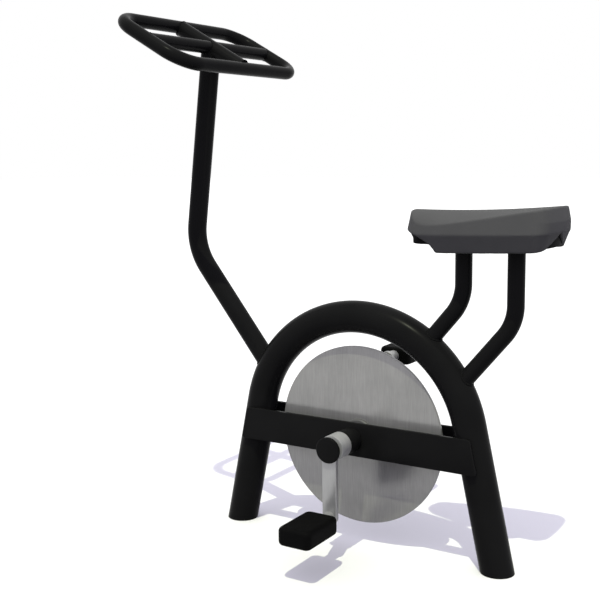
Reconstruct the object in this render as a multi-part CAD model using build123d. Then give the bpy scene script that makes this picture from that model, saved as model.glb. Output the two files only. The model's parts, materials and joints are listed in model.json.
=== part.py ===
from build123d import *
import os
from math import atan2, cos, pi, radians, sin, sqrt, tan

# Fixed outdoor exercise cycle. Millimetres, +X towards the hand frame, +Y to the rider's left, +Z up.
# Everything is drawn about the middle of the arch, and set on the middle of its footprint at the end.

# Arch: one large tube bent to a half circle, running on into two straight legs
arch_bend_radius = 285.0
arch_diameter = 76.1
arch_wall = 3.6
arch_centre_height = 268.0
leg_splay = 12.2
foot_plate_thickness = 6.0

# How far a round tube leans into what it is welded to
weld_seat = 0.8

# Side plates: one flat bar on each side of the legs, which carry the axle
plate_height = 80.0
plate_thickness = 10.0
plate_overhang = 16.0
plate_end_radius = 6.0

# Handle post, in the middle plane
post_diameter = 48.3
post_wall = 3.2
post_bend_x = 483.2
post_bend_height = 697.7
post_lower_lean = 38.3
post_upper_lean = 7.45
post_bend_radius = 145.0
post_upper_length = 503.1
post_top_wall = 6.0

# Hand frame: a rounded rectangle of tube, its front edge high, with a cross inside
ring_tilt = 29.7
ring_half_length = 114.5
ring_half_width = 238.0
ring_corner_radius = 62.0
ring_diameter = 31.8
ring_wall = 2.6
ring_vent_radius = 5.0
long_bar_diameter = 38.0
long_bar_wall = 3.2
long_bar_end_gap = 8.0
long_bar_end_wall = 4.0

# Seat posts: distance from the arch's middle, height of the bend
seat_post_diameter = 38.0
seat_post_wall = 3.2
seat_post_lean = 40.1
seat_post_bend_radius = 108.0
front_seat_post_x = -261.1
front_seat_post_bend_height = 608.0
rear_seat_post_x = -381.7
rear_seat_post_bend_height = 567.0

# Seat, drawn level about its skirt and then tilted: round nose, long side arcs, bowed rear
seat_tilt = 2.15
seat_pivot_x = -333.0
seat_skirt_height = 762.0
seat_nose_centre_x = -187.0
seat_nose_radius = 52.0
seat_side_radius = 711.0
seat_half_width = 92.0
seat_rear_x = -472.0
seat_rear_bow = 7.0
seat_rear_corner_radius = 32.0

# Seat top: heights above the skirt of its ridge and of the crease along each side
ridge_nose_height = 53.0
ridge_middle_height = 47.5
ridge_rear_height = 52.0
crease_nose_height = 1.0
crease_rear_height = 51.0
crown_side_spare = 2.0
side_draft = 8.0
nose_edge_radius = 16.0
nose_rise = 11.0
nose_rise_run = 30.0

# Lip below the seat's sides: runs in towards its lower edge, open at the front, notched at the rear
lip_depth = 36.3
lip_inset = 13.0
lip_wall = 5.0
lip_front_x = -166.0
lip_knee_x = -200.0
lip_knee_depth = 18.0
lip_corner_x = -215.0
notch_half_width = 48.0
notch_depth = 30.0

# Pressed tray under the seat
tray_nose_radius = 44.0
tray_half_width = 60.0
tray_side_radius = 690.0
tray_rear_x = -462.0
tray_rear_bow = 8.0
tray_corner_radius = 16.0
tray_front_depth = 20.0
tray_rear_depth = 31.0
tray_wall = 3.0
tray_clearance = 1.0

# Crank assembly: lengths run outwards from the middle plane
axle_diameter = 25.0
running_clearance = 0.05
housing_bore_clearance = 2.0
disc_radius = 215.0
disc_thickness = 8.0
flange_radius = 40.0
flange_thickness = 8.0
collar_radius = 24.0
collar_length = 14.0
housing_radius = 30.0
housing_length = 46.0
bearing_radius = 21.0
bearing_length = 30.0
boss_gap = 1.0
boss_radius = 30.0
boss_length = 41.0
arm_thickness = 12.0
arm_width = 36.0
crank_length = 160.0
cap_thickness = 8.0
cap_edge_radius = 2.5

# Pedals, each on a pin that is fixed in its arm
pin_diameter = 14.0
pin_collar_radius = 15.0
pin_collar_length = 27.5
pin_depth = 80.0
pin_end_gap = 1.0
pedal_gap = 1.0
pedal_length = 127.0
pedal_half_width = 40.5
pedal_thickness = 40.0
pedal_corner_radius = 13.0
pedal_edge_radius = 8.0

axle_height = arch_centre_height
arch_outer = arch_diameter / 2
plate_inner_y = arch_outer - weld_seat
plate_outer_y = plate_inner_y + plate_thickness
housing_end_y = plate_outer_y + housing_length
boss_start_y = housing_end_y + boss_gap
arm_inner_y = boss_start_y + boss_length
arm_outer_y = arm_inner_y + arm_thickness
pedal_start_y = arm_outer_y + pin_collar_length + pedal_gap
far = 2000.0

parts = {}
side_view = Plane((0, 0, 0), x_dir=(1, 0, 0), z_dir=(0, -1, 0))


def across(radius, start_y, length, x=0.0, z=0.0):
    """A round bar along Y from start_y, on the line through x and z."""
    return extrude(Plane((x, start_y, z), x_dir=(1, 0, 0), z_dir=(0, 1, 0)) * Circle(radius), length)


def swept(path, radius):
    """A round bar along a path."""
    return sweep(Plane(origin=path @ 0, z_dir=path % 0) * Circle(radius), path=path)


def tube(path, outer, wall):
    """A round tube along a path."""
    return swept(path, outer) - swept(path, outer - wall)


def other_side(shape):
    """The same piece on the other side of the middle plane."""
    return mirror(shape, about=Plane.XZ)


def slab(low, high):
    """A wide flat block between two heights."""
    return Pos(0, 0, (low + high) / 2) * Box(far, far, high - low)


def side_prism(points):
    """A side view's outline as a block right across the object."""
    return extrude(side_view * make_face(Polyline(*points, close=True)), far / 2, both=True)


# Arch and feet
splay = radians(leg_splay)
tangent_x = arch_bend_radius * cos(splay)
tangent_z = arch_centre_height + arch_bend_radius * sin(splay)


def leg_x(height):
    """Where the straight leg's centre line is at a height."""
    return tangent_x + (tangent_z - height) * tan(splay)


leg_end_z = -arch_diameter
arch_path = (
    Line((leg_x(leg_end_z), 0, leg_end_z), (tangent_x, 0, tangent_z))
    + ThreePointArc(
        (tangent_x, 0, tangent_z),
        (0, 0, arch_centre_height + arch_bend_radius),
        (-tangent_x, 0, tangent_z),
    )
    + Line((-tangent_x, 0, tangent_z), (-leg_x(leg_end_z), 0, leg_end_z))
)
arch_rod = swept(arch_path, arch_outer)
arch_hollow = swept(arch_path, arch_outer - arch_wall)
parts["arch_tube"] = (arch_rod - arch_hollow) & slab(foot_plate_thickness, far)
foot_slices = (arch_rod & slab(0, foot_plate_thickness)).solids().sort_by(Axis.X)
parts["foot_plate_rear"] = foot_slices[0]
parts["foot_plate_front"] = foot_slices[-1]

# Side plates, their ends parallel to the legs, with a bearing housing on each outer face
plate_low = axle_height - plate_height / 2
plate_high = axle_height + plate_height / 2
plate_outline = make_face(Polyline(
    (leg_x(plate_low) + plate_overhang, plate_low),
    (leg_x(plate_high) + plate_overhang, plate_high),
    (-leg_x(plate_high) - plate_overhang, plate_high),
    (-leg_x(plate_low) - plate_overhang, plate_low),
    close=True,
))
plate_outline = fillet(plate_outline.vertices(), plate_end_radius)
side_plate = extrude(Pos(0, plate_inner_y, 0) * (side_view * plate_outline), -plate_thickness)
side_plate = side_plate - arch_rod - across(bearing_radius, 0, far, z=axle_height)
parts["side_plate_left"] = side_plate
parts["side_plate_right"] = other_side(side_plate)

bearing_end_y = plate_inner_y + bearing_length
housing = across(housing_radius, plate_outer_y, housing_length, z=axle_height)
housing = chamfer(housing.edges().group_by(Axis.Y)[-1], boss_gap)
housing = housing - across(bearing_radius, plate_outer_y, bearing_end_y - plate_outer_y, z=axle_height)
housing = housing - across(axle_diameter / 2 + housing_bore_clearance, 0, far, z=axle_height)
parts["bearing_housing_left"] = housing
parts["bearing_housing_right"] = other_side(housing)
bearing = across(bearing_radius, plate_inner_y, bearing_length, z=axle_height)
bearing = bearing - across(axle_diameter / 2 + running_clearance, 0, far, z=axle_height)
parts["bearing_left"] = bearing
parts["bearing_right"] = other_side(bearing)


def arch_hit(x, z, run_x, run_z):
    """Where a line from a point, running along run_x and run_z, first meets the arch's centre circle."""
    rise = z - arch_centre_height
    nearest = -(x * run_x + rise * run_z)
    travel = nearest - sqrt(nearest**2 - (x**2 + rise**2 - arch_bend_radius**2))
    return (x + travel * run_x, 0, z + travel * run_z)


def bent(start, corner, end, radius):
    """Two straight runs joined by one bend."""
    return FilletPolyline(start, corner, end, radius=radius)


# Handle post: leans forward from the arch, then back to the hand frame
lower = radians(post_lower_lean)
upper = radians(post_upper_lean)
post_start = arch_hit(post_bend_x, post_bend_height, -sin(lower), -cos(lower))
ring_x = post_bend_x - post_upper_length * sin(upper)
ring_z = post_bend_height + post_upper_length * cos(upper)
post_top = Vector(ring_x, 0, ring_z)
post_run = Vector(-sin(upper), 0, cos(upper))
post_path = bent(
    post_start,
    (post_bend_x, 0, post_bend_height),
    post_top + post_run * post_diameter,
    post_bend_radius,
)

# Hand frame: made flat, local x running up to the front and local y across, then tilted onto the post
tilt = radians(ring_tilt)
ring_plane = Plane((ring_x, 0, ring_z), x_dir=(cos(tilt), 0, sin(tilt)), z_dir=(-sin(tilt), 0, cos(tilt)))
ring_outer = ring_diameter / 2
ring_inner = ring_outer - ring_wall
ring_path = RectangleRounded(2 * ring_half_length, 2 * ring_half_width, ring_corner_radius).wire()
ring_rod = swept(ring_path, ring_outer)
ring_hollow = swept(ring_path, ring_inner)


def flat_bar(radius, half_x, half_y):
    """A straight round bar through the middle of the flat hand frame."""
    return swept(Line((-half_x, -half_y, 0), (half_x, half_y, 0)), radius)


long_half = ring_half_length - long_bar_end_gap
long_hollow_half = ring_half_length - ring_outer - long_bar_end_wall
long_rod = flat_bar(long_bar_diameter / 2, long_half, 0)
long_hollow = flat_bar(long_bar_diameter / 2 - long_bar_wall, long_hollow_half, 0)
long_vent = flat_bar(ring_vent_radius, ring_half_length, 0)
cross_rod = flat_bar(ring_outer, 0, ring_half_width)
cross_hollow = flat_bar(ring_inner, 0, ring_half_width)
cross_vent = flat_bar(ring_vent_radius, 0, ring_half_width)
cross_halves = (cross_rod - cross_hollow - ring_rod - long_rod).solids().sort_by(Axis.Y)
tilted = ring_plane.location
parts["handle_ring"] = tilted * (ring_rod - ring_hollow - long_vent - cross_vent)
parts["handle_bar_long"] = tilted * (long_rod - long_hollow - long_vent - ring_rod)
parts["handle_bar_right"] = tilted * cross_halves[0]
parts["handle_bar_left"] = tilted * cross_halves[-1]

# The post's closed top reaches up to the middle of the bars
post_rod = swept(post_path, post_diameter / 2)
post_hollow = swept(post_path, post_diameter / 2 - post_wall)
post_rod = post_rod - tilted * slab(0, far)
post_hollow = post_hollow - tilted * slab(-long_bar_diameter / 2 - post_top_wall, far)
post = post_rod - post_hollow - arch_rod - tilted * long_rod - tilted * cross_rod
parts["handle_post"] = post.solids().sort_by(SortBy.VOLUME)[-1]

# Everything of the seat is drawn level, its skirt at height 0, and tilted onto the posts
seated = Pos(seat_pivot_x, 0, seat_skirt_height) * Rot(0, seat_tilt, 0) * Pos(-seat_pivot_x, 0, 0)


def side_end(nose_radius, half_width, side_radius):
    """Where a side arc that touches the nose's circle has run out parallel to the middle plane."""
    reach = sqrt((side_radius - nose_radius)**2 - (side_radius - half_width)**2)
    return seat_nose_centre_x - reach


def plan(nose_radius, half_width, side_radius, rear_x, rear_bow, corner_radius):
    """An outline from above with a round nose, two long side arcs and a bowed rear."""
    end_x = side_end(nose_radius, half_width, side_radius)
    start_turn = atan2(side_radius - half_width, seat_nose_centre_x - end_x)
    middle_turn = (start_turn + pi / 2) / 2
    centre_y = half_width - side_radius
    join_x = seat_nose_centre_x + nose_radius * cos(start_turn)
    join_y = nose_radius * sin(start_turn)
    middle_x = end_x + side_radius * cos(middle_turn)
    middle_y = centre_y + side_radius * sin(middle_turn)
    face = make_face(
        ThreePointArc((join_x, -join_y), (seat_nose_centre_x + nose_radius, 0), (join_x, join_y))
        + ThreePointArc((join_x, join_y), (middle_x, middle_y), (end_x, half_width))
        + Line((end_x, half_width), (rear_x, half_width))
        + ThreePointArc((rear_x, half_width), (rear_x - rear_bow, 0), (rear_x, -half_width))
        + Line((rear_x, -half_width), (end_x, -half_width))
        + ThreePointArc((end_x, -half_width), (middle_x, -middle_y), (join_x, -join_y))
    )
    return fillet(face.vertices().group_by(Axis.X)[0], corner_radius)


def seat_plan(inset):
    """The seat's outline from above, made smaller all round."""
    return plan(
        seat_nose_radius - inset,
        seat_half_width - inset,
        seat_side_radius - inset,
        seat_rear_x + inset,
        seat_rear_bow,
        seat_rear_corner_radius - inset,
    )


def tray_block(inset, low, high):
    """The tray's outline, made smaller all round, as a block between two heights."""
    outline = plan(
        tray_nose_radius - inset,
        tray_half_width - inset,
        tray_side_radius - inset,
        tray_rear_x + inset,
        tray_rear_bow,
        tray_corner_radius - inset,
    )
    return extrude(Plane((0, 0, low)) * outline, high - low)


# Pressed tray: its top plate carries the seat, and the posts run up to that plate's underside
tray_front_x = seat_nose_centre_x + tray_nose_radius
tray = tray_block(0, -tray_rear_depth, 0) - tray_block(tray_wall, -tray_rear_depth, -tray_wall)
tray = tray - side_prism([
    (far, -tray_front_depth),
    (tray_front_x, -tray_front_depth),
    (tray_rear_x, -tray_rear_depth),
    (tray_rear_x - tray_rear_bow - tray_wall, -tray_rear_depth),
    (tray_rear_x - tray_rear_bow - tray_wall, -tray_rear_depth - tray_wall),
    (far, -tray_rear_depth - tray_wall),
])
parts["seat_base"] = seated * tray


def seat_post(x, bend_height):
    """A post that leaves the arch's rear shoulder and turns upright under the seat."""
    lean = radians(seat_post_lean)
    start = arch_hit(x, bend_height, sin(lean), -cos(lean))
    path = bent(start, (x, 0, bend_height), (x, 0, seat_skirt_height + tray_wall), seat_post_bend_radius)
    return tube(path, seat_post_diameter / 2, seat_post_wall) - arch_rod - seated * slab(-tray_wall, far)


parts["seat_post_front"] = seat_post(front_seat_post_x, front_seat_post_bend_height)
parts["seat_post_rear"] = seat_post(rear_seat_post_x, rear_seat_post_bend_height)

# Seat top: a crown that is strongly arched at the nose and flat at the rear, above upright sides
seat_front_x = seat_nose_centre_x + seat_nose_radius
seat_tail_x = seat_rear_x - seat_rear_bow
seat_length = seat_front_x - seat_tail_x
seat_side_end = side_end(seat_nose_radius, seat_half_width, seat_side_radius)


def crown_section(share):
    """The crown's section at a share of the seat's length, counted from the nose."""
    x = seat_front_x - share * seat_length
    fall = max(x - seat_side_end, 0)
    half = seat_half_width - seat_side_radius + sqrt(seat_side_radius**2 - fall**2) + crown_side_spare
    crease = crease_nose_height + share * (crease_rear_height - crease_nose_height)
    nose_part = (1 - share) * (1 - 2 * share) * ridge_nose_height
    middle_part = 4 * share * (1 - share) * ridge_middle_height
    rear_part = share * (2 * share - 1) * ridge_rear_height
    ridge = nose_part + middle_part + rear_part
    outline = make_face(
        Polyline((half, crease), (half, -crown_side_spare), (-half, -crown_side_spare), (-half, crease))
        + ThreePointArc((-half, crease), (0, ridge), (half, crease))
    )
    return Plane((x, 0, 0), x_dir=(0, 1, 0), z_dir=(1, 0, 0)) * outline


crown = loft([crown_section(share) for share in (0.0, 0.2, 0.4, 0.6, 0.8, 1.0)])
seat_side_view = make_face(Polyline(
    (seat_front_x - nose_rise_run, 0),
    (seat_front_x, nose_rise),
    (seat_front_x - side_draft, ridge_nose_height),
    (seat_tail_x, 2 * ridge_rear_height),
    (seat_tail_x, 0),
    close=True,
))
nose = seat_side_view.vertices().group_by(Axis.X)[-2]
seat_side_view = fillet(nose, nose_edge_radius)
drafted = loft([seat_plan(0), Plane((0, 0, ridge_nose_height)) * seat_plan(side_draft)])
seat_top = crown & drafted
seat_top = seat_top & extrude(side_view * seat_side_view, far / 2, both=True)


def lip_block(inset):
    """The lip's tapering outline as a block, made smaller all round by an inset."""
    return loft([
        seat_plan(inset),
        Plane((0, 0, -lip_depth)) * seat_plan(inset + lip_inset),
    ])


lip = lip_block(0) - lip_block(lip_wall)
lip = lip - side_prism([
    (far, 0),
    (lip_front_x, 0),
    (lip_knee_x, -lip_knee_depth),
    (lip_corner_x, -lip_depth),
    (lip_corner_x, -2 * lip_depth),
    (far, -2 * lip_depth),
])
notch = make_face(Polyline(
    (0, 0),
    (notch_half_width, -notch_depth),
    (seat_half_width - lip_inset, -lip_depth),
    (0, -2 * lip_depth),
    (lip_inset - seat_half_width, -lip_depth),
    (-notch_half_width, -notch_depth),
    close=True,
))
notch_plane = Plane((seat_rear_x + seat_rear_corner_radius, 0, 0), x_dir=(0, 1, 0), z_dir=(1, 0, 0))
lip = lip - extrude(notch_plane * notch, -far) - tray_block(-tray_clearance, -tray_rear_depth, 0)
parts["seat_top"] = seated * (seat_top + lip)

# Axle and disc
parts["axle"] = across(axle_diameter / 2, -arm_outer_y, 2 * arm_outer_y, z=axle_height)
axle_bore = across(axle_diameter / 2, -far, 2 * far, z=axle_height)
disc = across(disc_radius, -disc_thickness / 2, disc_thickness, z=axle_height)
parts["flywheel_disc"] = disc - axle_bore
flange = across(flange_radius, disc_thickness / 2, flange_thickness, z=axle_height)
flange += across(collar_radius, disc_thickness / 2 + flange_thickness, collar_length, z=axle_height)
flange = flange - axle_bore

# Cranks: the left arm hangs down and the right arm stands up
boss = across(boss_radius, boss_start_y, boss_length, z=axle_height) - axle_bore
cap = across(boss_radius, arm_outer_y, cap_thickness, z=axle_height)
cap = fillet(cap.edges().group_by(Axis.Y)[-1], cap_edge_radius)
arm_low_z = axle_height - crank_length
arm_outline = SlotCenterToCenter(crank_length, arm_width, rotation=90)
arm = extrude(Plane((0, arm_inner_y, axle_height - crank_length / 2), x_dir=(1, 0, 0), z_dir=(0, 1, 0))
              * arm_outline, arm_thickness)
pin = across(pin_diameter / 2, arm_inner_y, arm_thickness + pin_collar_length + pin_depth, z=arm_low_z)
pin += across(pin_collar_radius, arm_outer_y, pin_collar_length, z=arm_low_z)
arm = arm - axle_bore - across(pin_diameter / 2, 0, far, z=arm_low_z)

# Pedal: a rounded block with a blind bore for its pin
pedal_mid_y = pedal_start_y + pedal_length / 2
pedal = Pos(0, pedal_mid_y, arm_low_z - pedal_thickness / 2) * extrude(
    RectangleRounded(2 * pedal_half_width, pedal_length, pedal_corner_radius), pedal_thickness
)
pedal = fillet(
    pedal.edges().group_by(Axis.Z)[0] + pedal.edges().group_by(Axis.Z)[-1], pedal_edge_radius
)
pedal_bore_length = pin_depth - pedal_gap + pin_end_gap
pedal = pedal - across(pin_diameter / 2 + running_clearance, pedal_start_y, pedal_bore_length, z=arm_low_z)


def turned(shape):
    """The same piece at the other crank: half a turn about the upright line through the axle's middle."""
    return shape.rotate(Axis((0, 0, axle_height), (1, 0, 0)), 180)


for name, piece in (
    ("disc_flange", flange),
    ("crank_boss", boss),
    ("crank_arm", arm),
    ("axle_cap", cap),
    ("pedal_pin", pin),
    ("pedal", pedal),
):
    parts[name + "_left"] = piece
    parts[name + "_right"] = turned(piece)

# The origin is on the floor, under the middle of the whole object
boxes = [piece.bounding_box() for piece in parts.values()]
middle_x = (min(box.min.X for box in boxes) + max(box.max.X for box in boxes)) / 2
os.makedirs("parts", exist_ok=True)
for name, piece in parts.items():
    export_step(Pos(-middle_x, 0, 0) * piece, "parts/" + name + ".step")
print("axle at x", round(-middle_x, 3), "z", axle_height, "pedal z", arm_low_z, axle_height + crank_length)
print("feet at x", round(leg_x(0) - middle_x, 3), round(-leg_x(0) - middle_x, 3))
print("hand frame centre", round(ring_x - middle_x, 3), round(ring_z, 3))
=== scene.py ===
# %% [markdown]
# # A fixed outdoor exercise cycle
# The cycle is a steel tube bent to an arch, with a disc between its legs that two cranks turn. A post
# carries the hand frame and two short posts carry the seat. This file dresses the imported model: every piece
# below is a smooth mesh at the model's own place, and it moves with the body that it belongs to.

# %% Load the frame
import json
from math import acos, atan2, cos, pi, radians, sin, sqrt, tan

import bmesh
import bpy
from mathutils import Matrix, Vector


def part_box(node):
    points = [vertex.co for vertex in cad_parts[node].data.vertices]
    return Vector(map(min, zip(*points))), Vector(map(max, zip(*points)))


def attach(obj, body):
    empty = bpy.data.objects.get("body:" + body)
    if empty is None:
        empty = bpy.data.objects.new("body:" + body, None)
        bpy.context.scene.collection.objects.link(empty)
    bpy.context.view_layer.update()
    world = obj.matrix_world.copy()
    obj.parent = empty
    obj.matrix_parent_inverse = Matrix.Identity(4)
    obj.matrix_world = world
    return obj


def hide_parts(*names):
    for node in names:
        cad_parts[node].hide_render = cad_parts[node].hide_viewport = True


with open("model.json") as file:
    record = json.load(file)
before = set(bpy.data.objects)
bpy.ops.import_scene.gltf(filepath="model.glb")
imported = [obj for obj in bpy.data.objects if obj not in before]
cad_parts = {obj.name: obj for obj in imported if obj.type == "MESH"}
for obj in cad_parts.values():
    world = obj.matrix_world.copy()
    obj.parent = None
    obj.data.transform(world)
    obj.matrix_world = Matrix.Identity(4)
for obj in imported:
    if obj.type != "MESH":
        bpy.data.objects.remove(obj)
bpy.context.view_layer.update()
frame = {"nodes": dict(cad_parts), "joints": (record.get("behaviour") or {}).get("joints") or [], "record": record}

joints = {joint["name"]: Vector(joint["pos_m"]) for joint in frame["joints"]}
axle = joints["crank_spin"]


def shown(numbers):
    """Numbers cut short for printing."""
    return [round(number, 4) for number in numbers]


print("axle at", shown(axle))

# %% [markdown]
# ## Names for places
# Sizes are in metres. Places along the cycle are measured from the axle, which stands in the middle of the
# arch, so that one value read from the frame puts every piece where the model has it. What is turned on a
# lathe has its line along Y, and its lengths run outwards from the middle plane.

# %% Places and small helpers
collection = bpy.context.scene.collection
axle_line = Vector((axle.x, 0, axle.z))
both_sides = {"left": 1, "right": -1}


def at(x, z):
    """A point of the middle plane, at a distance in front of the axle and a height above the floor."""
    return Vector((axle.x + x, 0, z))


def span(target):
    """A node's lowest and highest corners."""
    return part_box(target)


def ends_out(target):
    """How far a node's near end and far end lie from the middle plane."""
    return sorted(abs(corner.y) for corner in span(target))


def turned_radius(target):
    """The radius of a turned node."""
    low, high = span(target)
    return (high.z - low.z) / 2


def turned_line(target):
    """The point of the middle plane on a turned node's line."""
    low, high = span(target)
    return Vector(((low.x + high.x) / 2, 0, (low.z + high.z) / 2))


def finish_piece(piece, body, slot, *nodes):
    """Puts a piece on its body and hides the nodes that it stands for."""
    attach(piece, body)
    if nodes:
        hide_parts(*nodes)
    print(piece.name, len(piece.data.polygons), "faces on", body)


# %% [markdown]
# ## Shader helpers
# A material is easier to read when each node is one call. The helper makes a node, sets its options, and
# fills its sockets with plain values or with links from other nodes.

# %% One call for one node
def node(tree, kind, options=(), **sockets):
    """Adds a node. Options are its properties, and sockets are values or links, underscores for spaces."""
    made = tree.nodes.new(kind)
    for key, value in dict(options).items():
        setattr(made, key, value)
    for key, value in sockets.items():
        place = int(key[1:]) if key[0] == "i" and key[1:].isdigit() else key.replace("_", " ")
        if isinstance(value, bpy.types.NodeSocket):
            tree.links.new(value, made.inputs[place])
        else:
            made.inputs[place].default_value = value
    return made


def new_group(kind, name, inputs, outputs):
    """An empty node group with named sockets, its input node and its output node."""
    tree = bpy.data.node_groups.new(name, kind)
    for socket_name, socket_kind, default in inputs:
        socket = tree.interface.new_socket(socket_name, in_out="INPUT", socket_type=socket_kind)
        if default is not None:
            socket.default_value = default
    for socket_name, socket_kind in outputs:
        tree.interface.new_socket(socket_name, in_out="OUTPUT", socket_type=socket_kind)
    return tree, tree.nodes.new("NodeGroupInput"), tree.nodes.new("NodeGroupOutput")


FLOAT, VECTOR = "NodeSocketFloat", "NodeSocketVector"
GEOMETRY, WHOLE, FINISH = "NodeSocketGeometry", "NodeSocketInt", "NodeSocketMaterial"

# %% [markdown]
# ## Effects that several finishes share
# Powder coat dries with a fine orange peel, and weather leaves it a little dull in patches. Drawn steel has
# lines along one direction. Moulded plastic has a fine leather-like grain from its tool. Each effect is one
# node group, so that every finish places it with its own values.

# %% Orange peel and dull patches
peel, peel_in, peel_out = new_group(
    "ShaderNodeTree",
    "Orange_Peel",
    [("Cells per metre", FLOAT, 700.0), ("Depth", FLOAT, 0.2), ("Patches per metre", FLOAT, 9.0)],
    [("Normal", VECTOR), ("Dullness", FLOAT)],
)
place = node(peel, "ShaderNodeTexCoord").outputs["Object"]
cells = node(peel, "ShaderNodeTexNoise", Vector=place, Scale=peel_in.outputs["Cells per metre"], Detail=2.0)
patches = node(
    peel,
    "ShaderNodeTexNoise",
    Vector=place,
    Scale=peel_in.outputs["Patches per metre"],
    Detail=5.0,
)
skin = node(
    peel,
    "ShaderNodeBump",
    Strength=peel_in.outputs["Depth"],
    Distance=0.0004,
    Height=cells.outputs["Fac"],
)
peel.links.new(skin.outputs["Normal"], peel_out.inputs["Normal"])
dull = node(peel, "ShaderNodeMapRange", Value=patches.outputs["Fac"], From_Min=0.3, From_Max=0.7)
peel.links.new(dull.outputs["Result"], peel_out.inputs["Dullness"])

# %% Lines of drawn or brushed steel
grain, grain_in, grain_out = new_group(
    "ShaderNodeTree",
    "Drawn_Grain",
    [("Stretch", VECTOR, (600.0, 600.0, 9.0)), ("Depth", FLOAT, 0.1)],
    [("Normal", VECTOR), ("Tone", FLOAT), ("Cloud", FLOAT)],
)
place = node(grain, "ShaderNodeTexCoord").outputs["Object"]
drawn = node(grain, "ShaderNodeMapping", Vector=place, Scale=grain_in.outputs["Stretch"])
lines = node(
    grain,
    "ShaderNodeTexNoise",
    Vector=drawn.outputs["Vector"],
    Scale=1.0,
    Detail=3.0,
    Roughness=0.6,
)
cloud = node(grain, "ShaderNodeTexNoise", Vector=place, Scale=14.0, Detail=4.0)
scored = node(
    grain,
    "ShaderNodeBump",
    Strength=grain_in.outputs["Depth"],
    Distance=0.0002,
    Height=lines.outputs["Fac"],
)
grain.links.new(scored.outputs["Normal"], grain_out.inputs["Normal"])
clouded = node(
    grain,
    "ShaderNodeMath",
    {"operation": "ADD"},
    i0=lines.outputs["Fac"],
    i1=cloud.outputs["Fac"],
)
tone = node(grain, "ShaderNodeMapRange", Value=clouded.outputs[0], From_Min=0.7, From_Max=1.3)
grain.links.new(tone.outputs["Result"], grain_out.inputs["Tone"])
grain.links.new(cloud.outputs["Fac"], grain_out.inputs["Cloud"])

# %% Moulded grain of plastic and rubber
mould, mould_in, mould_out = new_group(
    "ShaderNodeTree",
    "Moulded_Grain",
    [("Cells per metre", FLOAT, 900.0), ("Depth", FLOAT, 0.3)],
    [("Normal", VECTOR), ("Pits", FLOAT), ("Patches", FLOAT)],
)
place = node(mould, "ShaderNodeTexCoord").outputs["Object"]
pits = node(mould, "ShaderNodeTexVoronoi", Vector=place, Scale=mould_in.outputs["Cells per metre"])
fade = node(mould, "ShaderNodeTexNoise", Vector=place, Scale=22.0, Detail=5.0)
pitted = node(
    mould,
    "ShaderNodeBump",
    Strength=mould_in.outputs["Depth"],
    Distance=0.0003,
    Height=pits.outputs["Distance"],
)
mould.links.new(pitted.outputs["Normal"], mould_out.inputs["Normal"])
mould.links.new(pits.outputs["Distance"], mould_out.inputs["Pits"])
mould.links.new(fade.outputs["Fac"], mould_out.inputs["Patches"])
print("shader groups:", [tree.name for tree in (peel, grain, mould)])

# %% [markdown]
# ## Finishes
# Every finish is one Principled shader. A group gives it the small relief and the masks, a mix between two
# close colours keeps it from being flat, and a map range turns a mask into roughness.


# %% Building a finish
def placed(tree, group_tree, **values):
    """A shader group placed in a material, with its own values."""
    made = tree.nodes.new("ShaderNodeGroup")
    made.node_tree = group_tree
    for key, value in values.items():
        made.inputs[key.replace("_", " ")].default_value = value
    return made


def blended(tree, mask, low, high):
    """A colour between two by a mask."""
    mix = tree.nodes.new("ShaderNodeMix")
    mix.data_type = "RGBA"
    tree.links.new(mask, mix.inputs["Factor"])
    mix.inputs[6].default_value = (*low, 1.0)
    mix.inputs[7].default_value = (*high, 1.0)
    return mix.outputs[2]


def ranged(tree, mask, low, high):
    """A number between two by a mask."""
    return node(tree, "ShaderNodeMapRange", Value=mask, To_Min=low, To_Max=high).outputs["Result"]


def new_finish(name, **constants):
    """A material with a Principled shader whose constant sockets are set."""
    material = bpy.data.materials.new(name)
    material.use_nodes = True
    shader = material.node_tree.nodes["Principled BSDF"]
    for key, value in constants.items():
        shader.inputs[key.replace("_", " ")].default_value = value
    return material, material.node_tree, shader


def joined(tree, shader, effect, colours, colour_mask, roughness, dull_mask):
    """Joins an effect to a shader: its relief, two colours mixed by one mask, and roughness by another."""
    tree.links.new(blended(tree, effect.outputs[colour_mask], *colours), shader.inputs["Base Color"])
    tree.links.new(ranged(tree, effect.outputs[dull_mask], *roughness), shader.inputs["Roughness"])
    tree.links.new(effect.outputs["Normal"], shader.inputs["Normal"])


def painted(name, colours, roughness, depth, specular):
    """Powder coat on steel."""
    material, tree, shader = new_finish(name, Specular_IOR_Level=specular)
    effect = placed(tree, peel, Depth=depth)
    joined(tree, shader, effect, colours, "Dullness", roughness, "Dullness")
    return material


def drawn_steel(name, colours, roughness, stretch, depth, mirror):
    """Bare steel with its lines along one direction, part mirror and part dull haze."""
    material, tree, shader = new_finish(name, Metallic=mirror, Specular_IOR_Level=0.2)
    effect = placed(tree, grain, Stretch=stretch, Depth=depth)
    joined(tree, shader, effect, colours, "Tone", roughness, "Cloud")
    return material


def moulded(name, colours, roughness, cells_per_metre, depth, specular):
    """Moulded plastic or rubber."""
    material, tree, shader = new_finish(name, Specular_IOR_Level=specular)
    effect = placed(tree, mould, Cells_per_metre=cells_per_metre, Depth=depth)
    joined(tree, shader, effect, colours, "Patches", roughness, "Pits")
    return material


# %% Paints
black_paint = painted(
    "black_powder_coat",
    colours=((0.0084, 0.0084, 0.0086), (0.0106, 0.0106, 0.0108)),
    roughness=(0.22, 0.28),
    depth=0.12,
    specular=0.022,
)
pressing_paint = painted(
    "black_pressing_coat",
    colours=((0.006, 0.006, 0.0064), (0.008, 0.008, 0.0084)),
    roughness=(0.5, 0.62),
    depth=0.3,
    specular=0.008,
)

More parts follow.
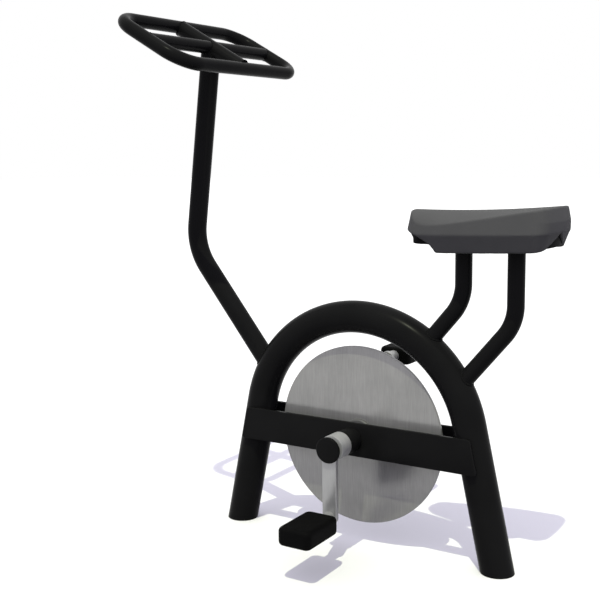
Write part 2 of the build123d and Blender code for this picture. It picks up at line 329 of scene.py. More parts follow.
# %% Bare steels: the first two have their lines along Z, and the lines of the two turned ones run round Y
disc_steel = drawn_steel(
    "disc_drawn_steel",
    colours=((0.262, 0.261, 0.257), (0.338, 0.336, 0.328)),
    roughness=(0.16, 0.28),
    stretch=(420.0, 420.0, 24.0),
    depth=0.06,
    mirror=0.35,
)
crank_steel = drawn_steel(
    "crank_satin_steel",
    colours=((0.31, 0.31, 0.312), (0.4, 0.4, 0.402)),
    roughness=(0.28, 0.4),
    stretch=(700.0, 700.0, 30.0),
    depth=0.06,
    mirror=0.5,
)
boss_steel = drawn_steel(
    "boss_turned_steel",
    colours=((0.4, 0.4, 0.402), (0.5, 0.5, 0.502)),
    roughness=(0.36, 0.46),
    stretch=(60.0, 700.0, 60.0),
    depth=0.06,
    mirror=0.4,
)
turned_steel = drawn_steel(
    "turned_steel",
    colours=((0.11, 0.11, 0.111), (0.16, 0.16, 0.161)),
    roughness=(0.5, 0.6),
    stretch=(60.0, 900.0, 60.0),
    depth=0.08,
    mirror=0.35,
)

# %% Plastics and rubber
cap_plastic = moulded(
    "black_cap_plastic",
    colours=((0.004, 0.004, 0.0042), (0.006, 0.006, 0.0063)),
    roughness=(0.4, 0.5),
    cells_per_metre=1500.0,
    depth=0.1,
    specular=0.05,
)
seat_plastic = moulded(
    "grey_seat_plastic",
    colours=((0.086, 0.086, 0.087), (0.1, 0.1, 0.101)),
    roughness=(0.6, 0.8),
    cells_per_metre=1100.0,
    depth=0.35,
    specular=0.02,
)
pedal_rubber = moulded(
    "black_pedal_rubber",
    colours=((0.0022, 0.0022, 0.0023), (0.0036, 0.0036, 0.0037)),
    roughness=(0.55, 0.75),
    cells_per_metre=800.0,
    depth=0.35,
    specular=0.03,
)
print("finishes:", [material.name for material in bpy.data.materials])

# %% [markdown]
# ## Bent tubes
# The cycle is made on a tube bender: straight runs joined by bends of one radius. So every tube here follows
# one rule. Its corners are a few points, a Geometry Nodes tree rounds them to the bend radius and sweeps a
# circle along the line, and the sizes are inputs of that tree.

# %% The tree that bends a tube
bender, bender_in, bender_out = new_group(
    "GeometryNodeTree",
    "Tube_Bender",
    [
        ("Corners", GEOMETRY, None),
        ("Bend Radius", FLOAT, 0.1),
        ("Bend Steps", WHOLE, 32),
        ("Tube Radius", FLOAT, 0.02),
        ("Sides", WHOLE, 48),
        ("Finish", FINISH, None),
    ],
    [("Tube", GEOMETRY)],
)
run = node(bender, "GeometryNodeMeshToCurve", Mesh=bender_in.outputs["Corners"])
rounded_run = node(
    bender,
    "GeometryNodeFilletCurve",
    {"mode": "POLY"},
    Curve=run.outputs["Curve"],
    Count=bender_in.outputs["Bend Steps"],
    Radius=bender_in.outputs["Bend Radius"],
)
circle = node(
    bender,
    "GeometryNodeCurvePrimitiveCircle",
    Resolution=bender_in.outputs["Sides"],
    Radius=bender_in.outputs["Tube Radius"],
)
sweep = node(
    bender,
    "GeometryNodeCurveToMesh",
    Curve=rounded_run.outputs["Curve"],
    Profile_Curve=circle.outputs["Curve"],
    Fill_Caps=True,
)
real = node(bender, "GeometryNodeRealizeInstances", Geometry=sweep.outputs["Mesh"])
coated = node(
    bender,
    "GeometryNodeSetMaterial",
    Geometry=real.outputs["Geometry"],
    Material=bender_in.outputs["Finish"],
)
bender.links.new(coated.outputs["Geometry"], bender_out.inputs["Tube"])


# %% From a tree to a plain mesh
tube_crease = radians(40)
tube_sides = 64


def point_line(name, points, closed=False):
    """A mesh of points joined by edges, for a tree to follow."""
    mesh = bpy.data.meshes.new(name)
    edges = [(i, i + 1) for i in range(len(points) - 1)]
    if closed:
        edges.append((len(points) - 1, 0))
    mesh.from_pydata([tuple(point) for point in points], edges, [])
    return mesh


def grown(name, mesh, tree, values, crease=tube_crease):
    """Runs a tree on a mesh, and keeps the result as a plain mesh with no modifier."""
    piece = bpy.data.objects.new(name, mesh)
    collection.objects.link(piece)
    modifier = piece.modifiers.new("tree", "NODES")
    modifier.node_group = tree
    for item in tree.interface.items_tree:
        if item.item_type == "SOCKET" and item.in_out == "INPUT" and item.name in values:
            modifier[item.identifier] = values[item.name]
    depsgraph = bpy.context.evaluated_depsgraph_get()
    result = bpy.data.meshes.new_from_object(piece.evaluated_get(depsgraph), depsgraph=depsgraph)
    piece.modifiers.clear()
    piece.data = result
    result.shade_smooth()
    result.set_sharp_from_angle(angle=crease)
    return piece


def bent_tube(name, corners, bend_radius, tube_radius, finish, closed=False, bend_steps=32):
    """A tube along its corners."""
    values = {
        "Bend Radius": bend_radius,
        "Bend Steps": bend_steps,
        "Tube Radius": tube_radius,
        "Sides": tube_sides,
        "Finish": finish,
    }
    return grown(name, point_line(name, corners, closed), bender, values)


# %% Cut a tube flat
def cut_off(piece, point, normal):
    """Cuts away the part of a piece on the side that a normal points to, and closes the cut."""
    shape = bmesh.new()
    shape.from_mesh(piece.data)
    whole = shape.verts[:] + shape.edges[:] + shape.faces[:]
    bmesh.ops.bisect_plane(shape, geom=whole, plane_co=point, plane_no=normal, clear_outer=True)
    bmesh.ops.holes_fill(shape, edges=[edge for edge in shape.edges if edge.is_boundary])
    bmesh.ops.recalc_face_normals(shape, faces=shape.faces[:])
    shape.to_mesh(piece.data)
    shape.free()
    piece.data.set_sharp_from_angle(angle=tube_crease)


# %% [markdown]
# ## The arch
# One length of the largest tube is bent to a half circle and runs on into two legs that stand a little apart.
# The legs' lines meet at a point high above the arch, so the whole arch is one corner with a very large bend.
# Its radius, its height and its feet are read from the frame.

# %% Arch and its feet
arch_bend_steps = 112
arch_low, arch_high = span("arch_tube")
arch_radius = (arch_high.y - arch_low.y) / 2
arch_bend = arch_high.z - arch_radius - axle.z
foot_x = Vector(frame["record"]["mounts"][0]["pos_m"]).x - axle.x
foot_distance = sqrt(foot_x**2 + axle.z**2)
leg_splay = acos(arch_bend / foot_distance) - atan2(axle.z, foot_x)
arch_corners = [
    at(-foot_x - arch_radius * tan(leg_splay), -arch_radius),
    at(0, axle.z + arch_bend / sin(leg_splay)),
    at(foot_x + arch_radius * tan(leg_splay), -arch_radius),
]
arch = bent_tube("arch", arch_corners, arch_bend, arch_radius, black_paint, bend_steps=arch_bend_steps)
cut_off(arch, Vector((0, 0, 0)), Vector((0, 0, -1)))
finish_piece(arch, "frame", "black_tube", "arch_tube", "foot_plate_front", "foot_plate_rear")
print("arch bend", round(arch_bend, 4), "tube radius", round(arch_radius, 4), "splay", round(leg_splay, 4))

# %% [markdown]
# ## Post, hand frame and seat posts
# The handle post leaves the arch's front shoulder, leans forward, and turns back at one bend. The hand
# frame is a closed tube with four equal bends, drawn flat and tilted, with a bar along it and a bar across
# it. The seat posts leave the rear shoulder and turn upright. Each branch starts on the arch's centre line,
# so that it passes into the arch with no gap, and a weld bead covers the seam.

# %% Sizes of the posts and the hand frame
post_radius = 0.02415
post_bend = at(0.4832, 0.6977)
post_lower_lean = radians(38.3)
post_bend_radius = 0.145
ring_centre = at(0.4180, 1.19655)
ring_tilt = radians(29.7)
ring_half_length = 0.1145
ring_half_width = 0.238
ring_corner_radius = 0.062
ring_radius = 0.0159
long_bar_radius = 0.019
long_bar_end_gap = 0.008
seat_post_radius = 0.019
seat_post_lean = radians(40.1)
seat_post_bend_radius = 0.108
front_seat_bend = at(-0.2611, 0.6080)
rear_seat_bend = at(-0.3817, 0.5670)
seat_pivot = at(-0.333, 0.762)
seat_tilt = radians(2.15)
plate_half_thickness = 0.0015


def arch_hit(point, direction):
    """Where a line first meets the arch's centre circle."""
    away = point - axle_line
    nearest = -away.dot(direction)
    return point + direction * (nearest - sqrt(nearest**2 - away.length_squared + arch_bend**2))


# %% Bend the hand frame
ring_along = Vector((cos(ring_tilt), 0, sin(ring_tilt)))
ring_across = Vector((0, 1, 0))
ring_up = Vector((-sin(ring_tilt), 0, cos(ring_tilt)))
half_bar = ring_half_length - long_bar_end_gap


def on_ring(along, across):
    """A point in the hand frame's own tilted plane."""
    return ring_centre + ring_along * along + ring_across * across


ring_corners = [
    on_ring(ring_half_length, -ring_half_width),
    on_ring(ring_half_length, ring_half_width),
    on_ring(-ring_half_length, ring_half_width),
    on_ring(-ring_half_length, -ring_half_width),
]
ring = bent_tube("hand_frame_ring", ring_corners, ring_corner_radius, ring_radius, black_paint, closed=True)
finish_piece(ring, "frame", "black_tube", "handle_ring")
bars = {
    "hand_frame_bar_long": (on_ring(-half_bar, 0), on_ring(half_bar, 0), long_bar_radius),
    "hand_frame_bar_across": (on_ring(0, -ring_half_width), on_ring(0, ring_half_width), ring_radius),
}
bar_nodes = {
    "hand_frame_bar_long": ["handle_bar_long"],
    "hand_frame_bar_across": ["handle_bar_left", "handle_bar_right"],
}
for name, (start, end, radius) in bars.items():
    bar_points = [start, (start + end) / 2, end]
    bar = bent_tube(name, bar_points, bend_radius=0.0, tube_radius=radius, finish=black_paint, bend_steps=1)
    finish_piece(bar, "frame", "black_tube", *bar_nodes[name])


# %% Bend the posts
lower_run = Vector((-sin(post_lower_lean), 0, -cos(post_lower_lean)))
upper_run = (ring_centre - post_bend).normalized()
post_foot = arch_hit(post_bend, lower_run)
post_corners = [post_foot, post_bend, ring_centre + upper_run * post_radius]
post = bent_tube("handle_post_tube", post_corners, post_bend_radius, post_radius, black_paint)
cut_off(post, ring_centre, ring_up)
finish_piece(post, "frame", "black_tube", "handle_post")

seat_run = Vector((sin(seat_post_lean), 0, -cos(seat_post_lean)))
seat_feet = {}
for place_name, bend in (("front", front_seat_bend), ("rear", rear_seat_bend)):
    seat_feet[place_name] = arch_hit(bend, seat_run)
    plate_z = seat_pivot.z - (bend.x - seat_pivot.x) * tan(seat_tilt) - plate_half_thickness
    corners = [seat_feet[place_name], bend, Vector((bend.x, 0, plate_z))]
    tube_name = "seat_post_tube_" + place_name
    tube = bent_tube(tube_name, corners, seat_post_bend_radius, seat_post_radius, black_paint)
    finish_piece(tube, "frame", "black_tube", "seat_post_" + place_name)

# %% [markdown]
# ## Weld beads
# Where a tube meets another, the welder lays a row of small overlapping drops round the seam. The seam is
# found by sliding points along the branch tube until they reach the other tube's surface. A tree then lays a
# thin round core and flat drops along that line, at an even step, and the paint covers both.

# %% The tree that lays a bead
beader, beader_in, beader_out = new_group(
    "GeometryNodeTree",
    "Weld_Bead",
    [
        ("Seam", GEOMETRY, None),
        ("Drop Radius", FLOAT, 0.003),
        ("Drop Step", FLOAT, 0.0022),
        ("Core Radius", FLOAT, 0.0024),
        ("Size Change", FLOAT, 0.12),
        ("Seed", WHOLE, 7),
        ("Finish", FINISH, None),
    ],
    [("Bead", GEOMETRY)],
)
seam = node(beader, "GeometryNodeMeshToCurve", Mesh=beader_in.outputs["Seam"])
core_circle = node(
    beader,
    "GeometryNodeCurvePrimitiveCircle",
    Resolution=10,
    Radius=beader_in.outputs["Core Radius"],
)
core = node(
    beader,
    "GeometryNodeCurveToMesh",
    Curve=seam.outputs["Curve"],
    Profile_Curve=core_circle.outputs["Curve"],
)
steps = node(
    beader,
    "GeometryNodeCurveToPoints",
    {"mode": "LENGTH"},
    Curve=seam.outputs["Curve"],
    Length=beader_in.outputs["Drop Step"],
)
drop = node(beader, "GeometryNodeMeshUVSphere", Segments=12, Rings=7, Radius=beader_in.outputs["Drop Radius"])
flat_drop = node(beader, "GeometryNodeTransform", Geometry=drop.outputs["Mesh"], Scale=(1.0, 1.0, 0.6))
least = node(beader, "ShaderNodeMath", {"operation": "SUBTRACT"}, i0=1.0, i1=beader_in.outputs["Size Change"])
most = node(beader, "ShaderNodeMath", {"operation": "ADD"}, i0=1.0, i1=beader_in.outputs["Size Change"])
drop_size = node(beader, "FunctionNodeRandomValue", {"data_type": "FLOAT"}, Seed=beader_in.outputs["Seed"])
beader.links.new(least.outputs[0], drop_size.inputs[2])
beader.links.new(most.outputs[0], drop_size.inputs[3])
drops = node(
    beader,
    "GeometryNodeInstanceOnPoints",
    Points=steps.outputs["Points"],
    Instance=flat_drop.outputs["Geometry"],
    Rotation=steps.outputs["Rotation"],
    Scale=drop_size.outputs[1],
)
together = node(beader, "GeometryNodeJoinGeometry")
beader.links.new(drops.outputs["Instances"], together.inputs["Geometry"])
beader.links.new(core.outputs["Mesh"], together.inputs["Geometry"])
real_drops = node(beader, "GeometryNodeRealizeInstances", Geometry=together.outputs["Geometry"])
painted_drops = node(
    beader,
    "GeometryNodeSetMaterial",
    Geometry=real_drops.outputs["Geometry"],
    Material=beader_in.outputs["Finish"],
)
beader.links.new(painted_drops.outputs["Geometry"], beader_out.inputs["Bead"])


# %% Find the seam of a branch on another tube
def from_arch(point):
    """Distance from a point to the arch's surface, negative inside the tube."""
    radial = Vector((point.x - axle.x, 0, point.z - axle.z))
    ring_distance = radial.length - arch_bend
    return sqrt(ring_distance**2 + point.y**2) - arch_radius


def from_bar(start, end, radius):
    """The same for a straight round bar."""
    line = (end - start).normalized()
    return lambda point: ((point - start) - line * (point - start).dot(line)).length - radius


seam_points = 120
seam_search = 0.12
seam_halvings = 40


def seam_of(origin, direction, radius, distance, nearest=0.0):
    """The closed line where a branch's wall leaves the surface of the tube that it starts in."""
    direction = direction.normalized()
    side_a = direction.orthogonal().normalized()
    side_b = direction.cross(side_a)
    found = []
    for i in range(seam_points):
        angle = 2 * pi * i / seam_points
        wall = origin + (side_a * cos(angle) + side_b * sin(angle)) * radius
        inside, outside = nearest, seam_search
        for _ in range(seam_halvings):
            middle = (inside + outside) / 2
            if distance(wall + direction * middle) < 0:
                inside = middle
            else:
                outside = middle
        found.append(wall + direction * outside)
    return found


# %% Lay a bead
wide_bead = 0.0054
fine_bead = 0.003
drop_step_share = 0.44
core_radius_share = 0.39
bead_crease = radians(80)


def lay_bead(name, line, width, closed=True):
    """A bead along a seam line, riding the frame. Its drops stand a little wider than its core."""
    values = {
        "Drop Radius": width / 2,
        "Drop Step": width * drop_step_share,
        "Core Radius": width * core_radius_share,
        "Finish": black_paint,
    }
    bead = grown(name, point_line(name, line, closed), beader, values, crease=bead_crease)
    finish_piece(bead, "frame", "black_tube")


# %% Beads on the arch and on the hand frame
front_right, front_left, rear_left, rear_right = ring_corners
ring_front = from_bar(front_right, front_left, ring_radius)
ring_rear = from_bar(rear_right, rear_left, ring_radius)
ring_left = from_bar(rear_left, front_left, ring_radius)
ring_right = from_bar(rear_right, front_right, ring_radius)
long_bar = from_bar(*bars["hand_frame_bar_long"])

# A branch as wide as the tube that it meets is taken this much thinner, so that its sides still meet it
equal_tube_gap = 0.0002
cross_radius = ring_radius - equal_tube_gap
front_middle = on_ring(ring_half_length, 0)
rear_middle = on_ring(-ring_half_length, 0)
seams = {
    "bead_post_foot": (post_foot, -lower_run, post_radius, from_arch),
    "bead_seat_post_front": (seat_feet["front"], -seat_run, seat_post_radius, from_arch),
    "bead_seat_post_rear": (seat_feet["rear"], -seat_run, seat_post_radius, from_arch),
    "bead_bar_left": (ring_centre, ring_across, ring_radius, long_bar),
    "bead_bar_right": (ring_centre, -ring_across, ring_radius, long_bar),
    "bead_ring_front": (front_middle, -ring_along, long_bar_radius, ring_front, long_bar_end_gap),
    "bead_ring_rear": (rear_middle, ring_along, long_bar_radius, ring_rear, long_bar_end_gap),
    "bead_ring_left": (on_ring(0, ring_half_width), -ring_across, cross_radius, ring_left),
    "bead_ring_right": (on_ring(0, -ring_half_width), ring_across, cross_radius, ring_right),
}
for name, seam_values in seams.items():
    lay_bead(name, seam_of(*seam_values), wide_bead if from_arch in seam_values else fine_bead)

# The post's rim ends at the bars' middle plane, so these seams are half rings below that plane
post_wall = from_bar(post_bend, ring_centre, post_radius)
for name, direction, radius in (
    ("bead_post_top_front", ring_along, long_bar_radius),
    ("bead_post_top_rear", -ring_along, long_bar_radius),
    ("bead_post_top_left", ring_across, ring_radius),
    ("bead_post_top_right", -ring_across, ring_radius),
):
    line = seam_of(ring_centre, direction, radius, post_wall)
    below = [(point - ring_centre).dot(ring_up) < 0 for point in line]
    first = next(i for i in range(seam_points) if below[i] and not below[i - 1])
    from_first = line[first:] + line[:first]
    lay_bead(name, from_first[: sum(below)], fine_bead, closed=False)

# %% [markdown]
# ## Turned pieces
# The disc, the bosses, the caps and the housings are made on a lathe, so each is one profile turned about the
# axle's line. A profile is a few corners, and each corner is broken by a small round, because a machined edge
# is never sharp and its round catches the light.


# %% Rounded outlines and turned meshes
def rounded(points, radii, steps=4):
    """An outline whose corners are rounded, each by its own radius."""
    out = []
    count = len(points)
    for i, radius in enumerate(radii):
        here = Vector(points[i])
        if radius <= 0:
            out.append(here)
            continue
        before = (Vector(points[i - 1]) - here).normalized()
        after = (Vector(points[(i + 1) % count]) - here).normalized()
        half = before.angle(after) / 2
        reach = radius / tan(half)
        centre = here + (before + after).normalized() * (radius / sin(half))
        start = here + before * reach - centre
        end = here + after * reach - centre
        for step in range(steps + 1):
            share = step / steps
            out.append(centre + start.lerp(end, share).normalized() * radius)
    return out


turn_sides = 96
turned_crease = radians(35)
turned_merge = 1e-6


def turned(name, profile, radii, centre, finish, sides=turn_sides):
    """A closed profile of (radius, distance along Y) turned about the line through centre along Y."""
    outline = rounded(profile, radii)
    shape = bmesh.new()
    rings = []
    for angle in (2 * pi * i / sides for i in range(sides)):
        spot = [(centre.x + p.x * cos(angle), centre.y + p.y, centre.z + p.x * sin(angle)) for p in outline]
        rings.append([shape.verts.new(xyz) for xyz in spot])
    for i in range(sides):
        this, following = rings[i], rings[(i + 1) % sides]
        for j in range(len(outline)):
            k = (j + 1) % len(outline)
            shape.faces.new((this[j], this[k], following[k], following[j]))
    bmesh.ops.remove_doubles(shape, verts=shape.verts[:], dist=turned_merge)
    bmesh.ops.recalc_face_normals(shape, faces=shape.faces[:])
    mesh = bpy.data.meshes.new(name)
    shape.to_mesh(mesh)
    shape.free()
    mesh.shade_smooth()
    mesh.set_sharp_from_angle(angle=turned_crease)
    mesh.materials.append(finish)
    piece = bpy.data.objects.new(name, mesh)
    collection.objects.link(piece)
    return piece


# %% Disc, bosses, caps and housings
def turned_node(name, target, inner, edges, finish, body, slot):
    """Turns a bar or ring at a node's own place. Its edges are the rounds of its far end and its near end."""
    low, high = span(target)
    outer = turned_radius(target)
    profile = [(inner, low.y), (outer, low.y), (outer, high.y), (inner, high.y)]
    far_edge, near_edge = edges
    rounds = (near_edge, far_edge) if low.y + high.y > 0 else (far_edge, near_edge)
    piece = turned(name, profile, [0, *rounds, 0], turned_line(target), finish)
    finish_piece(piece, body, slot, target)


axle_radius = turned_radius("axle")
housing_bore = 0.0145
disc_edges = (0.0012, 0.0012)
boss_edges = (0.0004, 0.0012)
cap_edges = (0.003, 0.0004)
housing_edges = (0.0015, 0.0015)
turned_node("disc", "flywheel_disc", axle_radius, disc_edges, disc_steel, "crank", "disc_steel")
for side in both_sides:
    boss = "crank_boss_" + side
    turned_node("boss_" + side, boss, axle_radius, boss_edges, boss_steel, "crank", "crank_steel")
    turned_node("end_cap_" + side, "axle_cap_" + side, 0.0, cap_edges, cap_plastic, "crank", "cap_black")
    housing = "bearing_housing_" + side
    turned_node("housing_" + side, housing, housing_bore, housing_edges, black_paint, "frame", "black_tube")

# %% Flanges of the disc, with their collars
collar_radius = 0.024
flange_thickness = 0.008
flange_edge = 0.004
collar_root = 0.0015
collar_edge = 0.001
for side, sign in both_sides.items():
    near, far = ends_out("disc_flange_" + side)
    flange_radius = turned_radius("disc_flange_" + side)
    profile = [
        (axle_radius, sign * near),
        (flange_radius, sign * near),
        (flange_radius, sign * (near + flange_thickness)),
        (collar_radius, sign * (near + flange_thickness)),
        (collar_radius, sign * far),
        (axle_radius, sign * far),
    ]
    rounds = [0, 0, flange_edge, collar_root, collar_edge, 0]
    flange = turned("flange_" + side, profile, rounds, axle_line, turned_steel)
    finish_piece(flange, "crank", "axle_steel", "disc_flange_" + side)

# %% The axle and the bearings keep the model's own shape and get the turned finish
for name in ("axle", "bearing_left", "bearing_right"):
    for material_slot in frame["nodes"][name].material_slots:
        material_slot.material = turned_steel
    print(name, "in", turned_steel.name)

# %% [markdown]
# ## Flat bars
# The side plates and the crank arms are cut from flat bar. Each is an outline with a thickness, and its long
# edges are broken by a narrow bevel, where paint and light gather.


# %% Extrude an outline between two distances
bar_crease = radians(30)


def flat_bar(name, outline, low_y, high_y, edge, finish):
    """An outline in the side view, given a thickness along Y, with a narrow bevel round both faces."""
    shape = bmesh.new()
    face = shape.faces.new([shape.verts.new((p.x, low_y, p.y)) for p in outline])
    pushed = bmesh.ops.extrude_face_region(shape, geom=[face])
    moved = [item for item in pushed["geom"] if isinstance(item, bmesh.types.BMVert)]
    bmesh.ops.translate(shape, verts=moved, vec=(0, high_y - low_y, 0))
    bmesh.ops.recalc_face_normals(shape, faces=shape.faces[:])
    rims = [e for e in shape.edges if abs(e.verts[0].co.y - e.verts[1].co.y) < edge]
    bmesh.ops.bevel(shape, geom=rims, offset=edge, segments=3, profile=0.5, affect="EDGES")
    mesh = bpy.data.meshes.new(name)
    shape.to_mesh(mesh)
    shape.free()
    mesh.shade_smooth()
    mesh.set_sharp_from_angle(angle=bar_crease)
    mesh.materials.append(finish)
    piece = bpy.data.objects.new(name, mesh)
    collection.objects.link(piece)
    return piece


# %% Side plates
plate_end_radius = 0.006
plate_edge = 0.0012
for side in both_sides:
    low, high = span("side_plate_" + side)
    lean = (high.z - low.z) * tan(leg_splay)
    corners = [(low.x, low.z), (high.x, low.z), (high.x - lean, high.z), (low.x + lean, high.z)]
    outline = rounded(corners, [plate_end_radius] * 4, steps=6)
    plate = flat_bar("side_bar_" + side, outline, low.y, high.y, plate_edge, black_paint)
    finish_piece(plate, "frame", "black_tube", "side_plate_" + side)

# %% Crank arms: two round ends joined by straight sides
arm_edge = 0.001
arm_end_steps = 24
for side in both_sides:
    low, high = span("crank_arm_" + side)
    half = (high.x - low.x) / 2
    middle_x = (low.x + high.x) / 2
    outline = []
    for end_z, start_angle in ((high.z - half, 0.0), (low.z + half, pi)):
        for step in range(arm_end_steps + 1):
            angle = start_angle + pi * step / arm_end_steps
            outline.append(Vector((middle_x + half * cos(angle), end_z + half * sin(angle))))
    arm = flat_bar("arm_" + side, outline, low.y, high.y, arm_edge, crank_steel)
    finish_piece(arm, "crank", "crank_steel", "crank_arm_" + side)

# %% Pedal pins with their collars
pin_radius = 0.007
pin_sides = 48
pedal_gap = 0.001
pin_collar_edge = 0.0012
pin_end_edge = 0.001
for side, sign in both_sides.items():
    near, far = ends_out("pedal_pin_" + side)
    arm_outer = ends_out("crank_arm_" + side)[1]
    collar_end = ends_out("pedal_" + side)[0] - pedal_gap
    collar = turned_radius("pedal_pin_" + side)
    profile = [
        (0, sign * near),
        (pin_radius, sign * near),
        (pin_radius, sign * arm_outer),
        (collar, sign * arm_outer),
        (collar, sign * collar_end),
        (pin_radius, sign * collar_end),
        (pin_radius, sign * far),
        (0, sign * far),
    ]
    rounds = [0, 0, 0, 0, pin_collar_edge, 0, pin_end_edge, 0]
    centre = turned_line("pedal_pin_" + side)
    pin = turned("pin_" + side, profile, rounds, centre, crank_steel, sides=pin_sides)
    finish_piece(pin, "crank", "crank_steel", "pedal_pin_" + side)

# %% [markdown]
# ## Moulded pieces
# The seat and the pedals come out of a mould, so all their edges are soft. The model has their true outline
# with firm edges. A copy of it is merged, rebuilt as a fine even net, swollen a little, and then smoothed.
# Smoothing rounds every edge alike and keeps the form, but it shrinks the piece by about what was swollen.


# %% Soften a copy of a node
copy_merge = 1e-5


def softened(name, target, net, passes, swell, finish, reshape=None):
    """A smooth moulded piece from a node's own shape. The net's size and the swell are lengths."""
    shape = bmesh.new()
    shape.from_mesh(frame["nodes"][target].data)
    bmesh.ops.remove_doubles(shape, verts=shape.verts[:], dist=copy_merge)
    mesh = bpy.data.meshes.new(name)
    shape.to_mesh(mesh)
    shape.free()
    piece = bpy.data.objects.new(name, mesh)
    collection.objects.link(piece)
    remesh = piece.modifiers.new("net", "REMESH")
    remesh.mode = "VOXEL"
    remesh.voxel_size = net
    bulge = piece.modifiers.new("swell", "DISPLACE")
    bulge.strength = swell
    bulge.mid_level = 0.0
    smooth = piece.modifiers.new("soften", "SMOOTH")
    smooth.factor = 0.5
    smooth.iterations = passes
    depsgraph = bpy.context.evaluated_depsgraph_get()
    result = bpy.data.meshes.new_from_object(piece.evaluated_get(depsgraph), depsgraph=depsgraph)
    piece.modifiers.clear()
    piece.data = result
    if reshape:
        for vertex in result.vertices:
            vertex.co = reshape(vertex.co)
    result.shade_smooth()
    result.materials.clear()
    result.materials.append(finish)
    return piece


# %% Draft of the seat's two ends
nose_flare = 0.006
rear_roll = 0.006
rear_tuck = 0.003
lip_drop = 0.004
end_reach = 0.07
skirt_edge = 0.008
seat_low, seat_high = span("seat_top")


def share(value):
    """A value kept between none and all."""
    return min(1.0, max(0.0, value))


def drawn_ends(point, drop=lip_drop):
    """
    Moves a point of the seat or its tray. The model has one draft all round. Here the skirt leans out at the
    nose and its top rolls back at the rear, where what is below it tucks in. The lip is deeper in front.
    """
    above_skirt = point.z - seat_pivot.z
    height = share(above_skirt / (seat_high.z - seat_pivot.z))
    depth = share(-above_skirt / (seat_pivot.z - seat_low.z))
    forward_share = share((point.x - seat_low.x) / (seat_high.x - seat_low.x))
    near_nose = share(1 - (seat_high.x - point.x) / end_reach) ** 2
    near_rear = share(1 - (point.x - seat_low.x) / end_reach) ** 2
    on_skirt = share((above_skirt + 2 * skirt_edge) / skirt_edge)
    lean = nose_flare * (1 - height) * near_nose * on_skirt
    roll = near_rear * (rear_tuck * (1 + depth) * (1 - height) - rear_roll * share(2 * height))
    return point + Vector((lean + roll, 0, -drop * depth * forward_share))


def drawn_ends_of_tray(point):
    """The same for the tray, which isn't deeper in front."""
    return drawn_ends(point, drop=0.0)


# %% Seat, tray and pedals
seat = softened(
    "seat",
    "seat_top",
    net=0.0017,
    passes=3,
    swell=0.0016,
    finish=seat_plastic,
    reshape=drawn_ends,
)
finish_piece(seat, "frame", "seat_grey", "seat_top")
tray = softened(
    "seat_tray",
    "seat_base",
    net=0.0014,
    passes=3,
    swell=0.0008,
    finish=pressing_paint,
    reshape=drawn_ends_of_tray,
)
finish_piece(tray, "frame", "black_pressing", "seat_base")
for side in both_sides:
    pedal = softened(
        "pedal_block_" + side,
        "pedal_" + side,
        net=0.0016,
        passes=22,
        swell=0.0014,
        finish=pedal_rubber,
    )
    finish_piece(pedal, "pedal_" + side, "pedal_black", "pedal_" + side)

# %% [markdown]
# ## Floor and light
# The photograph has a white ground with one crisp, slightly violet shadow. The sky alone lights the floor
# to about four fifths of white, in a pale violet, which is the shadow's colour. The sun, a little warmer,
# takes it to a third above white, so the lit floor shows as plain white. What the camera or a reflection
# sees of the sky is plain white too. The floor sends little light back up, because the photograph's
# undersides are dark.


# %% Floor
def seen_directly(tree):
    """A mask that is one where the camera, a mirror or glass sees a place, and zero for scattered light."""
    paths = node(tree, "ShaderNodeLightPath").outputs
    seen = paths["Is Camera Ray"]
    for path in ("Is Glossy Ray", "Is Transmission Ray"):
        seen = node(tree, "ShaderNodeMath", {"operation": "MAXIMUM"}, i0=seen, i1=paths[path]).outputs[0]
    return seen


floor_size = 60.0
floor_white = 0.9
floor_bounce = 0.08
floor_mesh = bpy.data.meshes.new("floor")
half = floor_size / 2
floor_corners = [(-half, -half, 0), (half, -half, 0), (half, half, 0), (-half, half, 0)]
floor_mesh.from_pydata(floor_corners, [], [(0, 1, 2, 3)])
floor = bpy.data.objects.new("floor", floor_mesh)
collection.objects.link(floor)
floor_finish, floor_tree, floor_shader = new_finish("floor_white", Roughness=0.9, Specular_IOR_Level=0.0)
floor_colour = blended(floor_tree, seen_directly(floor_tree), [floor_bounce] * 3, [floor_white] * 3)
floor_tree.links.new(floor_colour, floor_shader.inputs["Base Color"])
floor_mesh.materials.append(floor_finish)

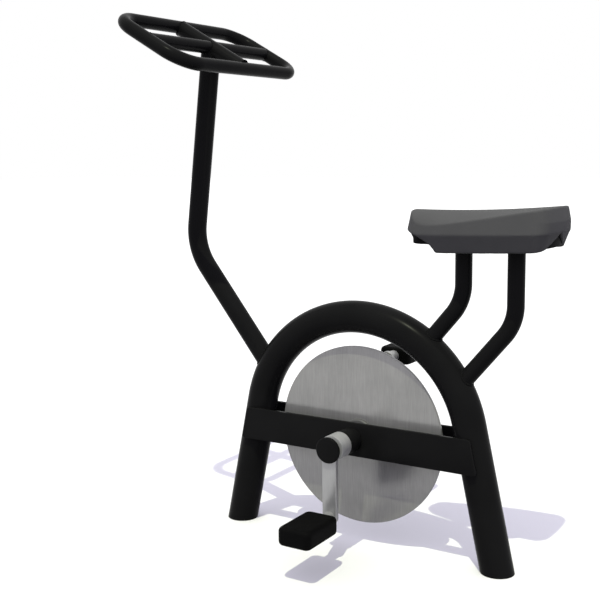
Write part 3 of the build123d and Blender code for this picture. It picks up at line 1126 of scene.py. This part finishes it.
# %% Sky and sun
shade = Vector((0.82, 0.80, 0.93))
lit = 1.32
world = bpy.data.worlds.new("sky")
bpy.context.scene.world = world
world.use_nodes = True
sky = world.node_tree
sky.nodes.clear()
glow = node(sky, "ShaderNodeBackground", Color=(*(shade / floor_white), 1.0), Strength=1.0)
plain = node(sky, "ShaderNodeBackground", Color=(1.0, 1.0, 1.0, 1.0), Strength=1.0)
chosen = node(sky, "ShaderNodeMixShader", Fac=seen_directly(sky))
sky.links.new(glow.outputs[0], chosen.inputs[1])
sky.links.new(plain.outputs[0], chosen.inputs[2])
node(sky, "ShaderNodeOutputWorld", Surface=chosen.outputs[0])

sun_run = Vector((0.12, -0.41, -1.0)).normalized()
sun_share = (Vector((lit, lit, lit)) - shade) / floor_white
sun_data = bpy.data.lights.new("sun", "SUN")
sun_data.energy = max(sun_share) * pi / -sun_run.z
sun_data.color = sun_share / max(sun_share)
sun_data.angle = radians(0.6)
sun = bpy.data.objects.new("sun", sun_data)
collection.objects.link(sun)
sun.rotation_euler = sun_run.to_track_quat("-Z", "Y").to_euler()
print("sun", round(sun_data.energy, 3), shown(sun_data.color))

# %% [markdown]
# ## Camera
# The camera stands to the left of the cycle and behind it, and looks a little down. Its place was found by
# matching the tubes' outlines to the photograph, and it is kept as a distance from the axle. Its angles are
# in radians.

# %% Camera
image_width = 600
focal_pixels = 1006.79
camera_from_axle = Vector((-1.13603, 2.04433, 0.66733))
camera_yaw, camera_pitch, camera_roll = 0.567, 0.141, -0.012
level_share = cos(camera_pitch)
forward = Vector((sin(camera_yaw) * level_share, -cos(camera_yaw) * level_share, -sin(camera_pitch)))
level_right = forward.cross(Vector((0, 0, 1))).normalized()
level_up = level_right.cross(forward)
right = level_right * cos(camera_roll) + level_up * sin(camera_roll)
up = level_up * cos(camera_roll) - level_right * sin(camera_roll)
camera_data = bpy.data.cameras.new("camera")
camera_data.sensor_width = 36.0
camera_data.lens = focal_pixels / image_width * camera_data.sensor_width
camera = bpy.data.objects.new("camera", camera_data)
collection.objects.link(camera)
camera_turn = Matrix((right, up, -forward)).transposed().to_4x4()
camera.matrix_world = Matrix.Translation(axle + camera_from_axle) @ camera_turn
bpy.context.scene.camera = camera
bpy.context.scene.view_settings.view_transform = "Standard"
print("lens", round(camera_data.lens, 2))
